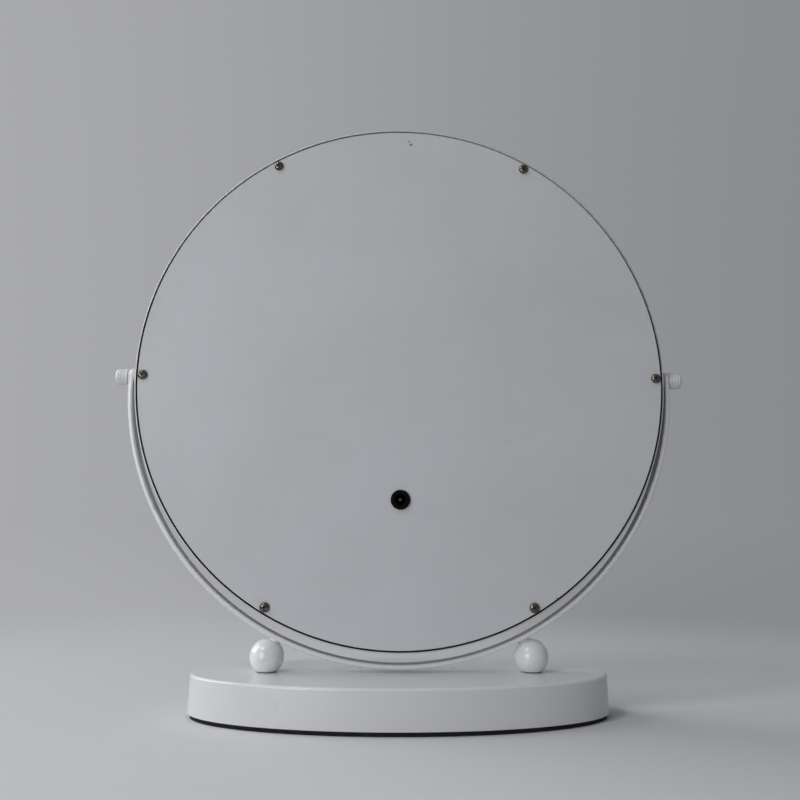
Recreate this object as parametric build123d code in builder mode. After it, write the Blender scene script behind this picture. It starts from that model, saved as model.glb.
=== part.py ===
from build123d import *
from math import asin, cos, degrees, sin, sqrt
import os

# Lighted makeup mirror: a round head that tilts in a U-shaped bracket on an oval, weighted base.
# Sizes are in millimetres. The origin is under the middle of the base, +Z is up, X runs along the
# pivots, -Y is the side of the plain back panel and +Y the side of the glass.

# Head
head_diameter = 305.0
head_depth = 19.0
hoop_wall = 0.8
hoop_lip_width = 2.0
hoop_lip_thickness = 1.0
hoop_edge_round_share = 0.85

# Back panel and its screws
panel_thickness = 1.5
panel_recess = 0.4
panel_gap = 0.8
panel_screw_edge = 2.9
panel_screw_count = 6
panel_screw_diameter = 3.0
panel_screw_reach = 6.0
panel_screw_head_diameter = 5.6
panel_screw_head_height = 1.9
panel_screw_hole_clearance = 0.2
post_diameter = 6.6
post_height = 8.0

# Cross recess, as shares of the head that carries it
recess_length_share = 0.58
recess_width_share = 0.17
recess_depth_share = 0.55
head_round_share = 0.5

# Glass, opal ring and light pan
light_band_width = 17.5
diffuser_thickness = 3.0
mirror_thickness = 3.0
pane_clearance = 0.3
tape_thickness = 0.8
tape_width = 5.0
tape_margin = 2.5
tape_inner_share = 0.45
pan_overlap = 2.0
pan_floor = 1.2
pan_wall = 1.2

# Light strip
strip_width = 8.0
strip_thickness = 0.3
strip_adhesive = 0.25
strip_end_gap = 20.0
chip_length = 3.5
chip_width = 2.8
chip_height = 1.4
chip_count = 68
chip_skip_angle = 10.0

# Touch sensor and control board
touch_pad_diameter = 14.0
touch_pad_thickness = 0.6
touch_pad_margin = 1.5
touch_lead_hole = 5.0
board_length = 44.0
board_width = 20.0
board_thickness = 1.2
board_tape_thickness = 1.0
board_tape_margin = 2.0
board_margin = 4.0
board_pad_margin = 3.0
driver_chip_size = 6.0
driver_chip_height = 1.4
coil_size = 7.0
coil_height = 3.4
coil_round_share = 0.25
capacitor_diameter = 5.0
capacitor_height = 3.8
board_part_shares = (0.24, 0.28, 0.4)

# Power inlet
jack_board_gap = 12.7
jack_flange_diameter = 11.0
jack_flange_height = 1.5
jack_flange_round = 0.5
jack_barrel_diameter = 8.0
jack_barrel_reach = 11.0
jack_hole_clearance = 0.15
jack_bore_diameter = 6.3
jack_bore_depth = 9.5
jack_pin_diameter = 2.0
jack_pin_recess = 0.9
jack_pin_root = 1.8
jack_pin_round_share = 0.35
jack_nut_width = 10.0
jack_nut_thickness = 2.0
terminal_width = 2.0
terminal_thickness = 0.5
terminal_spacing = 5.0
terminal_reach = 5.0

# Leads
lead_diameter = 1.3
lead_rise = 3.6
lead_bend_radius = 2.4
lead_hole_clearance = 0.3
led_lead_spacing = 12.0
led_lead_loop = 3.4
led_pad_offset = 4.0

# Stand bracket
pivot_gap = 2.2
bracket_thickness = 2.7
bracket_width = 10.0
bracket_drop = 4.0
bracket_clearance = 1.5
bracket_edge_round = 1.1

# Pivots and knobs
stud_diameter = 4.0
stud_reach = 11.0
stud_knob_depth = 5.0
washer_diameter = 9.0
block_length = 11.0
block_height = 13.0
block_wall = 2.2
knob_diameter = 9.5
knob_length = 7.8
knob_end_round = 2.0
knob_collar_diameter = 7.6
knob_collar_length = 0.8
knob_groove_count = 3
knob_groove_width = 0.6
knob_groove_depth = 0.4
knob_groove_pitch = 1.6
knob_groove_start = 1.1

# Base
base_length = 228.0
base_depth = 102.0
base_height = 20.1
base_flare = 0.6
base_wall = 2.5
base_top_round = 1.4
foot_pad_thickness = 2.4
foot_pad_inset = 0.8
cover_thickness = 3.0
cover_clearance = 0.3
ballast_thickness = 6.0
ballast_margin = 9.0
boss_diameter = 7.5
boss_spacing_length_share = 0.5
boss_spacing_depth_share = 0.48
cover_screw_diameter = 3.0
cover_screw_bite = 6.0
cover_screw_head_diameter = 5.6
cover_screw_head_height = 1.9
cover_screw_sink = 2.1

# Balls between bracket and base
ball_diameter = 19.0
ball_seat_depth = 1.5
ball_neck_length = 0.7
ball_neck_diameter = 6.0
ball_screw_diameter = 4.0
ball_screw_bite_share = 0.58
ball_screw_head_diameter = 7.0
ball_screw_head_height = 2.4
ball_washer_diameter = 9.0
ball_washer_thickness = 0.8
bracket_screw_diameter = 4.0
bracket_screw_head_diameter = 7.4
bracket_screw_head_height = 2.0
bracket_screw_sink = 0.2
bracket_screw_bite_share = 0.62

# Clearances shared by many pieces
seat_gap = 0.1
thread_clearance = 0.05
running_clearance = 0.08
screw_hole_clearance = 0.2
overrun = 2.0

sides = {"left": -1, "right": 1}

# Places along the depth of the head, counted backwards from the pivot axis
hoop_front = -head_depth / 2
hoop_rear = head_depth / 2
panel_rear = hoop_rear - panel_recess
panel_front = panel_rear - panel_thickness
diffuser_front = hoop_front + hoop_lip_thickness
pan_front = diffuser_front + diffuser_thickness
pan_floor_rear = pan_front + pan_floor
mirror_rear = pan_front - tape_thickness
touch_pad_rear = mirror_rear + touch_pad_thickness
board_front = pan_floor_rear + board_tape_thickness
board_rear = board_front + board_thickness
lead_level = board_rear + lead_rise
strip_middle = (pan_floor_rear + panel_front) / 2
jack_face = panel_rear + jack_flange_height
jack_end = panel_front - jack_barrel_reach
jack_bore_end = jack_face - jack_bore_depth

# Radii about the axis of the head
hoop_radius = head_diameter / 2
hoop_inner_radius = hoop_radius - hoop_wall
panel_radius = hoop_inner_radius - panel_gap
panel_screw_circle = panel_radius - panel_screw_edge
mirror_radius = hoop_inner_radius - light_band_width
diffuser_inner_radius = mirror_radius + pane_clearance
pan_radius = diffuser_inner_radius + pan_overlap
strip_inner_radius = pan_radius + strip_adhesive
strip_outer_radius = strip_inner_radius + strip_thickness
tape_radius = mirror_radius - tape_margin
tape_inner_radius = tape_radius - tape_width

# Places up and down the head, counted downwards from the pivot axis
touch_drop = tape_inner_radius - touch_pad_margin - touch_pad_diameter / 2
board_bottom = touch_drop - touch_lead_hole / 2 - board_margin
board_drop = board_bottom - board_width / 2
board_top = board_bottom - board_width
terminal_end = board_top - jack_board_gap
terminal_drop = terminal_end - terminal_width / 2
jack_drop = terminal_end - terminal_reach - jack_barrel_diameter / 2

# Bracket and the places of the balls under it
bracket_inner_radius = hoop_radius + pivot_gap
bracket_radius = bracket_inner_radius + bracket_thickness
shell_top = foot_pad_thickness + base_height
bracket_height = shell_top + bracket_clearance + bracket_radius
pivot_height = bracket_height + bracket_drop
ball_radius = ball_diameter / 2
ball_height = shell_top + ball_radius - ball_seat_depth
ball_distance = bracket_radius + ball_neck_length + ball_radius
ball_offset = sqrt(ball_distance**2 - (bracket_height - ball_height) ** 2)
ball_lean = asin(ball_offset / ball_distance)

# Levels in the base
base_half_length = base_length / 2
base_half_depth = base_depth / 2
cavity_half_length = base_half_length - base_wall
cavity_half_depth = base_half_depth - base_wall
cavity_top = shell_top - base_wall
cover_top = foot_pad_thickness + cover_thickness
ballast_top = cover_top + ballast_thickness
cover_screw_seat = foot_pad_thickness + cover_screw_sink
boss_spacing_x = base_length * boss_spacing_length_share
boss_spacing_y = base_depth * boss_spacing_depth_share
ball_screw_seat = cavity_top - ball_washer_thickness


def head_plane(setback):
    """Plane square to the head's axis, a distance behind the pivot axis, facing backwards."""
    return Plane(origin=(0, -setback, pivot_height), x_dir=(1, 0, 0), z_dir=(0, -1, 0))


def pivot_plane(side, reach):
    """Plane square to the pivot axis, a distance out from the middle, facing outwards."""
    return Plane(origin=(side * reach, 0, pivot_height), x_dir=(0, 1, 0), z_dir=(side, 0, 0))


def bracket_plane(side, reach):
    """Plane square to the line from the bracket's centre to a ball, facing the ball."""
    across = side * sin(ball_lean)
    down = -cos(ball_lean)
    origin = (reach * across, 0, bracket_height + reach * down)
    return Plane(origin=origin, x_dir=(0, 1, 0), z_dir=(across, 0, down))


def head_point(across, drop, setback):
    """Point in the head: across it, down from the pivot axis and behind that axis."""
    return (across, -setback, pivot_height - drop)


os.makedirs("parts", exist_ok=True)

# Base shell: oval, a little wider below, with a rounded top edge and four screw bosses inside
with BuildPart() as base_shell:
    with BuildSketch(Plane.XY.offset(foot_pad_thickness)):
        Ellipse(base_half_length + base_flare, base_half_depth + base_flare)
    with BuildSketch(Plane.XY.offset(shell_top)):
        Ellipse(base_half_length, base_half_depth)
    loft(ruled=True)
    fillet(base_shell.faces().sort_by(Axis.Z)[-1].edges(), base_top_round)
    with BuildSketch(Plane.XY.offset(foot_pad_thickness)):
        Ellipse(cavity_half_length, cavity_half_depth)
    extrude(amount=base_height - base_wall, mode=Mode.SUBTRACT)
    with BuildSketch(Plane.XY.offset(ballast_top)):
        with GridLocations(boss_spacing_x, boss_spacing_y, 2, 2):
            Circle(boss_diameter / 2)
    extrude(amount=cavity_top - ballast_top)
    with BuildSketch(Plane.XY.offset(ballast_top)):
        with GridLocations(boss_spacing_x, boss_spacing_y, 2, 2):
            Circle(cover_screw_diameter / 2 + thread_clearance)
    extrude(amount=cover_screw_bite, mode=Mode.SUBTRACT)
    with BuildSketch(Plane.XY.offset(cavity_top)):
        with GridLocations(2 * ball_offset, 0, 2, 1):
            Circle(ball_screw_diameter / 2 + screw_hole_clearance)
    extrude(amount=base_wall, mode=Mode.SUBTRACT)
base_shell.part.label = "base_shell"
export_step(base_shell.part, "parts/base_shell.step")

# Cover that closes the base, with sunk holes for its screws
with BuildPart() as base_cover:
    with BuildSketch(Plane.XY.offset(foot_pad_thickness)):
        Ellipse(cavity_half_length - cover_clearance, cavity_half_depth - cover_clearance)
    extrude(amount=cover_thickness)
    with BuildSketch(Plane.XY.offset(foot_pad_thickness)):
        with GridLocations(boss_spacing_x, boss_spacing_y, 2, 2):
            Circle(cover_screw_head_diameter / 2 + screw_hole_clearance)
    extrude(amount=cover_screw_sink, mode=Mode.SUBTRACT)
    with BuildSketch(Plane.XY.offset(cover_screw_seat)):
        with GridLocations(boss_spacing_x, boss_spacing_y, 2, 2):
            Circle(cover_screw_diameter / 2 + screw_hole_clearance)
    extrude(amount=cover_thickness - cover_screw_sink, mode=Mode.SUBTRACT)
base_cover.part.label = "base_cover"
export_step(base_cover.part, "parts/base_cover.step")

# Steel ballast that lies on the cover
with BuildPart() as ballast_plate:
    with BuildSketch(Plane.XY.offset(cover_top)):
        Ellipse(cavity_half_length - ballast_margin, cavity_half_depth - ballast_margin)
        with GridLocations(boss_spacing_x, boss_spacing_y, 2, 2):
            Circle(cover_screw_diameter / 2 + screw_hole_clearance, mode=Mode.SUBTRACT)
    extrude(amount=ballast_thickness)
ballast_plate.part.label = "ballast_plate"
export_step(ballast_plate.part, "parts/ballast_plate.step")

# Rubber pad that the base stands on
with BuildPart() as foot_pad:
    with BuildSketch():
        Ellipse(base_half_length - foot_pad_inset, base_half_depth - foot_pad_inset)
    extrude(amount=foot_pad_thickness)
foot_pad.part.label = "foot_pad"
export_step(foot_pad.part, "parts/foot_pad.step")

# Screws through cover and ballast into the bosses
with BuildPart() as cover_screws:
    with BuildSketch(Plane.XY.offset(cover_screw_seat)):
        with GridLocations(boss_spacing_x, boss_spacing_y, 2, 2):
            Circle(cover_screw_head_diameter / 2)
    extrude(amount=-cover_screw_head_height)
    with BuildSketch(Plane.XY.offset(cover_screw_seat)):
        with GridLocations(boss_spacing_x, boss_spacing_y, 2, 2):
            Circle(cover_screw_diameter / 2)
    extrude(amount=ballast_top + cover_screw_bite - cover_screw_seat)
cover_screws.part.label = "cover_screws"
export_step(cover_screws.part, "parts/cover_screws.step")

# Balls: flat underneath, with a short neck up to the bracket and a tapped hole at each end
for name, side in sides.items():
    with BuildPart() as ball:
        with Locations((side * ball_offset, 0, ball_height)):
            Sphere(ball_radius)
        with BuildSketch(bracket_plane(side, bracket_radius - overrun)):
            Circle(ball_neck_diameter / 2)
        extrude(amount=overrun + ball_neck_length + ball_radius)
        with BuildSketch(Plane(origin=(0, 0, bracket_height), z_dir=(0, -1, 0))):
            Circle(bracket_radius + seat_gap)
        extrude(amount=ball_radius, both=True, mode=Mode.SUBTRACT)
        split(bisect_by=Plane.XY.offset(shell_top), keep=Keep.TOP)
        with BuildSketch(Plane.XY.offset(shell_top)):
            with Locations((side * ball_offset, 0)):
                Circle(ball_screw_diameter / 2 + thread_clearance)
        extrude(amount=ball_radius * ball_screw_bite_share, mode=Mode.SUBTRACT)
        with BuildSketch(bracket_plane(side, bracket_radius - overrun)):
            Circle(bracket_screw_diameter / 2 + thread_clearance)
        extrude(amount=overrun + ball_radius * bracket_screw_bite_share, mode=Mode.SUBTRACT)
    ball.part.label = f"{name}_ball"
    export_step(ball.part, f"parts/{name}_ball.step")

# Screws that hold the balls down, with a washer under each head
with BuildPart() as ball_screws:
    with BuildSketch(Plane.XY.offset(ball_screw_seat)):
        with GridLocations(2 * ball_offset, 0, 2, 1):
            Circle(ball_screw_head_diameter / 2)
    extrude(amount=-ball_screw_head_height)
    with BuildSketch(Plane.XY.offset(ball_screw_seat)):
        with GridLocations(2 * ball_offset, 0, 2, 1):
            Circle(ball_screw_diameter / 2)
    extrude(amount=shell_top - ball_screw_seat + ball_radius * ball_screw_bite_share - seat_gap)
ball_screws.part.label = "ball_screws"
export_step(ball_screws.part, "parts/ball_screws.step")

with BuildPart() as ball_washers:
    with BuildSketch(Plane.XY.offset(ball_screw_seat)):
        with GridLocations(2 * ball_offset, 0, 2, 1):
            Circle(ball_washer_diameter / 2)
            Circle(ball_screw_diameter / 2 + screw_hole_clearance, mode=Mode.SUBTRACT)
    extrude(amount=ball_washer_thickness)
ball_washers.part.label = "ball_washers"
export_step(ball_washers.part, "parts/ball_washers.step")

# Bracket: flat bar bent to a half circle with short straight arms, round at the pivots
bar_radius = bracket_inner_radius + bracket_thickness / 2
with BuildPart() as stand_bracket:
    with BuildLine(Plane(origin=(0, 0, bracket_height), x_dir=(1, 0, 0), z_dir=(0, -1, 0))):
        Line((-bar_radius, bracket_drop), (-bar_radius, 0))
        CenterArc((0, 0), bar_radius, 180, 180)
        Line((bar_radius, 0), (bar_radius, bracket_drop))
    with BuildSketch(Plane.XY.offset(pivot_height)):
        with Locations((-bar_radius, 0)):
            RectangleRounded(bracket_thickness, bracket_width, bracket_edge_round)
    sweep()
    for side in sides.values():
        with BuildSketch(Plane.XY.offset(pivot_height)):
            with Locations((side * bar_radius, 0)):
                RectangleRounded(bracket_thickness, bracket_width, bracket_edge_round)
            with Locations((side * bar_radius, -bracket_width / 2)):
                Rectangle(bracket_thickness, bracket_width, mode=Mode.SUBTRACT)
        revolve(axis=Axis((0, 0, pivot_height), (1, 0, 0)), revolution_arc=180)
    for side in sides.values():
        with BuildSketch(pivot_plane(side, bracket_inner_radius)):
            Circle(stud_diameter / 2 + running_clearance)
        extrude(amount=bracket_thickness, mode=Mode.SUBTRACT)
        with BuildSketch(bracket_plane(side, bracket_inner_radius + bracket_screw_sink)):
            Circle(bracket_screw_head_diameter / 2 + screw_hole_clearance)
        extrude(amount=-overrun, mode=Mode.SUBTRACT)
        with Locations(bracket_plane(side, bracket_inner_radius + bracket_screw_sink)):
            Cone(
                bracket_screw_head_diameter / 2 + screw_hole_clearance,
                bracket_screw_diameter / 2 + screw_hole_clearance,
                bracket_screw_head_height,
                align=(Align.CENTER, Align.CENTER, Align.MIN),
                mode=Mode.SUBTRACT,
            )
        with BuildSketch(bracket_plane(side, bracket_inner_radius)):
            Circle(bracket_screw_diameter / 2 + screw_hole_clearance)
        extrude(amount=bracket_thickness + overrun, mode=Mode.SUBTRACT)
stand_bracket.part.label = "stand_bracket"
export_step(stand_bracket.part, "parts/stand_bracket.step")

# Countersunk screws from the bracket into the balls
with BuildPart() as bracket_screws:
    for side in sides.values():
        with Locations(bracket_plane(side, bracket_inner_radius + bracket_screw_sink)):
            Cone(
                bracket_screw_head_diameter / 2,
                bracket_screw_diameter / 2,
                bracket_screw_head_height,
                align=(Align.CENTER, Align.CENTER, Align.MIN),
            )
        with BuildSketch(bracket_plane(side, bracket_inner_radius + bracket_screw_sink)):
            Circle(bracket_screw_diameter / 2)
        extrude(
            amount=bracket_thickness
            - bracket_screw_sink
            + ball_radius * bracket_screw_bite_share
            - seat_gap
        )
bracket_screws.part.label = "bracket_screws"
export_step(bracket_screws.part, "parts/bracket_screws.step")

# Hoop of the head, with a lip that holds the opal ring and a hole for each pivot stud
with BuildPart() as rim_hoop:
    with BuildSketch(head_plane(hoop_front)):
        Circle(hoop_radius)
        Circle(hoop_inner_radius, mode=Mode.SUBTRACT)
    extrude(amount=head_depth)
    with BuildSketch(head_plane(hoop_front)):
        Circle(hoop_radius)
        Circle(hoop_inner_radius - hoop_lip_width, mode=Mode.SUBTRACT)
    extrude(amount=hoop_lip_thickness)
    outer_edges = rim_hoop.edges().filter_by(GeomType.CIRCLE).sort_by(SortBy.RADIUS)[-2:]
    fillet(outer_edges, hoop_wall * hoop_edge_round_share)
    for side in sides.values():
        with BuildSketch(pivot_plane(side, hoop_inner_radius - overrun)):
            Circle(stud_diameter / 2 + screw_hole_clearance)
        extrude(amount=hoop_wall + 2 * overrun, mode=Mode.SUBTRACT)
rim_hoop.part.label = "rim_hoop"
export_step(rim_hoop.part, "parts/rim_hoop.step")

# Back panel let into the hoop, with six screw holes and the hole of the power inlet
with BuildPart() as back_panel:
    with BuildSketch(head_plane(panel_front)):
        Circle(panel_radius)
        with PolarLocations(panel_screw_circle, panel_screw_count):
            Circle(panel_screw_diameter / 2 + panel_screw_hole_clearance, mode=Mode.SUBTRACT)
        with Locations((0, -jack_drop)):
            Circle(jack_barrel_diameter / 2 + jack_hole_clearance, mode=Mode.SUBTRACT)
    extrude(amount=panel_thickness)
back_panel.part.label = "back_panel"
export_step(back_panel.part, "parts/back_panel.step")

# Pan-head screws with a cross recess
with BuildPart() as panel_screws:
    with BuildSketch(head_plane(panel_rear)):
        with PolarLocations(panel_screw_circle, panel_screw_count):
            Circle(panel_screw_head_diameter / 2)
    extrude(amount=panel_screw_head_height)
    fillet(panel_screws.edges().group_by(Axis.Y)[0], panel_screw_head_height * head_round_share)
    with BuildSketch(head_plane(panel_rear + panel_screw_head_height)):
        with PolarLocations(panel_screw_circle, panel_screw_count):
            slot_length = panel_screw_head_diameter * recess_length_share
            slot_width = panel_screw_head_diameter * recess_width_share
            Rectangle(slot_length, slot_width)
            Rectangle(slot_width, slot_length)
    extrude(amount=-panel_screw_head_height * recess_depth_share, mode=Mode.SUBTRACT)
    with BuildSketch(head_plane(panel_rear)):
        with PolarLocations(panel_screw_circle, panel_screw_count):
            Circle(panel_screw_diameter / 2)
    extrude(amount=-panel_screw_reach)
panel_screws.part.label = "panel_screws"
export_step(panel_screws.part, "parts/panel_screws.step")

# Tapped posts inside the hoop, behind the screws that have no pivot block
screw_step = 360 / panel_screw_count
post_angles = [
    turn * screw_step for turn in range(panel_screw_count) if turn * screw_step not in (0, 180)
]
with BuildPart() as panel_posts:
    with BuildSketch(head_plane(panel_front)):
        for angle in post_angles:
            with PolarLocations(panel_screw_circle, 1, start_angle=angle):
                Circle(post_diameter / 2)
    extrude(amount=-post_height)
    with BuildSketch(head_plane(panel_front)):
        Circle(hoop_radius + overrun)
        Circle(hoop_inner_radius - seat_gap, mode=Mode.SUBTRACT)
    extrude(amount=-post_height, mode=Mode.SUBTRACT)
    with BuildSketch(head_plane(panel_front)):
        for angle in post_angles:
            with PolarLocations(panel_screw_circle, 1, start_angle=angle):
                Circle(panel_screw_diameter / 2 + thread_clearance)
    extrude(amount=-(panel_screw_reach - panel_thickness + seat_gap), mode=Mode.SUBTRACT)
panel_posts.part.label = "panel_posts"
export_step(panel_posts.part, "parts/panel_posts.step")

# Pivot blocks: each takes a pivot stud from the side and a panel screw from behind
block_front = -(stud_diameter / 2 + block_wall)
block_outer = sqrt(hoop_inner_radius**2 - (block_height / 2) ** 2) - seat_gap
for name, side in sides.items():
    with BuildPart() as pivot_block:
        with BuildSketch(head_plane(block_front)):
            with Locations((side * (block_outer - block_length / 2), 0)):
                Rectangle(block_length, block_height)
        extrude(amount=panel_front - block_front)
        with BuildSketch(pivot_plane(side, block_outer)):
            Circle(stud_diameter / 2 + thread_clearance)
        extrude(amount=-block_length, mode=Mode.SUBTRACT)
        with BuildSketch(head_plane(panel_front)):
            with Locations((side * panel_screw_circle, 0)):
                Circle(panel_screw_diameter / 2 + thread_clearance)
        extrude(amount=-(panel_screw_reach - panel_thickness + seat_gap), mode=Mode.SUBTRACT)
    pivot_block.part.label = f"{name}_pivot_block"
    export_step(pivot_block.part, f"parts/{name}_pivot_block.step")

# Washers in the gap between hoop and bracket
for name, side in sides.items():
    with BuildPart() as pivot_washer:
        with BuildSketch(pivot_plane(side, hoop_radius)):
            Circle(washer_diameter / 2)
            Circle(stud_diameter / 2 + screw_hole_clearance, mode=Mode.SUBTRACT)
        extrude(amount=pivot_gap - seat_gap)
    pivot_washer.part.label = f"{name}_pivot_washer"
    export_step(pivot_washer.part, f"parts/{name}_pivot_washer.step")

# Silvered glass
with BuildPart() as mirror_disc:
    with BuildSketch(head_plane(mirror_rear)):
        Circle(mirror_radius)
    extrude(amount=-mirror_thickness)
mirror_disc.part.label = "mirror_disc"
export_step(mirror_disc.part, "parts/mirror_disc.step")

# Foam tape between glass and pan: an outer and an inner ring
with BuildPart() as mirror_tape:
    with BuildSketch(head_plane(mirror_rear)):
        Circle(tape_radius)
        Circle(tape_inner_radius, mode=Mode.SUBTRACT)
        Circle(tape_radius * tape_inner_share)
        Circle(tape_radius * tape_inner_share - tape_width, mode=Mode.SUBTRACT)
    extrude(amount=tape_thickness)
mirror_tape.part.label = "mirror_tape"
export_step(mirror_tape.part, "parts/mirror_tape.step")

# Opal ring behind the lip of the hoop
with BuildPart() as light_diffuser:
    with BuildSketch(head_plane(diffuser_front)):
        Circle(hoop_inner_radius - pane_clearance)
        Circle(diffuser_inner_radius, mode=Mode.SUBTRACT)
    extrude(amount=diffuser_thickness)
light_diffuser.part.label = "light_diffuser"
export_step(light_diffuser.part, "parts/light_diffuser.step")

# Pan that the glass is taped to, clamped between opal ring and back panel
lead_hole_radius = lead_diameter / 2 + lead_hole_clearance
led_lead_offset = led_lead_spacing / 2
with BuildPart() as light_pan:
    with BuildSketch(head_plane(pan_front)):
        Circle(pan_radius)
    extrude(amount=panel_front - pan_front)
    with BuildSketch(head_plane(pan_floor_rear)):
        Circle(pan_radius - pan_wall)
    extrude(amount=panel_front - pan_floor_rear, mode=Mode.SUBTRACT)
    with BuildSketch(head_plane(pan_front)):
        with Locations((0, -touch_drop)):
            Circle(touch_lead_hole / 2)
    extrude(amount=pan_floor, mode=Mode.SUBTRACT)
    with BuildSketch(Plane.XY.offset(pivot_height - pan_radius - overrun)):
        with Locations((-led_lead_offset, -lead_level), (led_lead_offset, -lead_level)):
            Circle(lead_hole_radius)
    extrude(amount=pan_wall + 2 * overrun, mode=Mode.SUBTRACT)
light_pan.part.label = "light_pan"
export_step(light_pan.part, "parts/light_pan.step")

# Light strip round the pan, open at the bottom, and its light-emitting chips
with BuildPart() as led_strip:
    with BuildSketch(head_plane(strip_middle - strip_width / 2)):
        Circle(strip_outer_radius)
        Circle(strip_inner_radius, mode=Mode.SUBTRACT)
        with Locations((0, -strip_outer_radius)):
            Rectangle(strip_end_gap, strip_end_gap, mode=Mode.SUBTRACT)
    extrude(amount=strip_width)
led_strip.part.label = "led_strip"
export_step(led_strip.part, "parts/led_strip.step")

chip_circle = strip_outer_radius + seat_gap + chip_height / 2
with BuildPart() as led_chips:
    with BuildSketch(head_plane(strip_middle - chip_width / 2)):
        with PolarLocations(
            chip_circle,
            chip_count,
            start_angle=chip_skip_angle - 90,
            angular_range=360 - 2 * chip_skip_angle,
            endpoint=True,
        ):
            Rectangle(chip_height, chip_length)
    extrude(amount=chip_width)
led_chips.part.label = "led_chips"
export_step(led_chips.part, "parts/led_chips.step")

# Touch sensor on the back of the glass
with BuildPart() as touch_pad:
    with BuildSketch(head_plane(mirror_rear)):
        with Locations((0, -touch_drop)):
            Circle(touch_pad_diameter / 2)
    extrude(amount=touch_pad_thickness)
touch_pad.part.label = "touch_pad"
export_step(touch_pad.part, "parts/touch_pad.step")

# Control board, taped to the pan, with its driver chip, coil and capacitor
with BuildPart() as board_tape:
    with BuildSketch(head_plane(pan_floor_rear)):
        with Locations((0, -board_drop)):
            Rectangle(board_length - 2 * board_tape_margin, board_width - 2 * board_tape_margin)
    extrude(amount=board_tape_thickness)
board_tape.part.label = "board_tape"
export_step(board_tape.part, "parts/board_tape.step")

with BuildPart() as control_board:
    with BuildSketch(head_plane(board_front)):
        with Locations((0, -board_drop)):
            Rectangle(board_length, board_width)
    extrude(amount=board_thickness)
control_board.part.label = "control_board"
export_step(control_board.part, "parts/control_board.step")

chip_share, coil_share, capacitor_share = board_part_shares
with BuildPart() as board_parts:
    with BuildSketch(head_plane(board_rear)):
        with Locations((board_length * chip_share, -board_drop)):
            Rectangle(driver_chip_size, driver_chip_size)
    extrude(amount=driver_chip_height)
    with BuildSketch(head_plane(board_rear)):
        with Locations((-board_length * coil_share, -board_drop)):
            RectangleRounded(coil_size, coil_size, coil_size * coil_round_share)
    extrude(amount=coil_height)
    with BuildSketch(head_plane(board_rear)):
        with Locations((board_length * capacitor_share, -board_drop)):
            Circle(capacitor_diameter / 2)
    extrude(amount=capacitor_height)
board_parts.part.label = "board_parts"
export_step(board_parts.part, "parts/board_parts.step")

# Power inlet: socket with a flange outside the panel, its centre pin, nut and solder terminals
with BuildPart() as dc_jack:
    with BuildSketch(head_plane(panel_rear)):
        with Locations((0, -jack_drop)):
            Circle(jack_flange_diameter / 2)
    extrude(amount=jack_flange_height)
    fillet(dc_jack.edges().group_by(Axis.Y)[0], jack_flange_round)
    with BuildSketch(head_plane(jack_end)):
        with Locations((0, -jack_drop)):
            Circle(jack_barrel_diameter / 2)
    extrude(amount=panel_rear - jack_end)
    with BuildSketch(head_plane(jack_bore_end)):
        with Locations((0, -jack_drop)):
            Circle(jack_bore_diameter / 2)
    extrude(amount=jack_bore_depth, mode=Mode.SUBTRACT)
    with BuildSketch(head_plane(jack_bore_end)):
        with Locations((0, -jack_drop)):
            Circle(jack_pin_diameter / 2 + thread_clearance)
    extrude(amount=-jack_pin_root, mode=Mode.SUBTRACT)
dc_jack.part.label = "dc_jack"
export_step(dc_jack.part, "parts/dc_jack.step")

with BuildPart() as jack_pin:
    with BuildSketch(head_plane(jack_bore_end - jack_pin_root)):
        with Locations((0, -jack_drop)):
            Circle(jack_pin_diameter / 2)
    extrude(amount=jack_pin_root + jack_bore_depth - jack_pin_recess)
    fillet(jack_pin.edges().group_by(Axis.Y)[0], jack_pin_diameter * jack_pin_round_share)
jack_pin.part.label = "jack_pin"
export_step(jack_pin.part, "parts/jack_pin.step")

with BuildPart() as jack_nut:
    with BuildSketch(head_plane(panel_front)):
        with Locations((0, -jack_drop)):
            RegularPolygon(jack_nut_width / 2, 6, major_radius=False)
            Circle(jack_barrel_diameter / 2 + thread_clearance, mode=Mode.SUBTRACT)
    extrude(amount=-jack_nut_thickness)
jack_nut.part.label = "jack_nut"
export_step(jack_nut.part, "parts/jack_nut.step")

terminal_length = jack_barrel_diameter / 2 + terminal_reach
terminal_middle = jack_drop + terminal_length / 2
with BuildPart() as jack_terminals:
    with BuildSketch(head_plane(jack_end)):
        with Locations((0, -terminal_middle)):
            with GridLocations(terminal_spacing, 0, 2, 1):
                Rectangle(terminal_width, terminal_length)
    extrude(amount=-terminal_thickness)
jack_terminals.part.label = "jack_terminals"
export_step(jack_terminals.part, "parts/jack_terminals.step")

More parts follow.
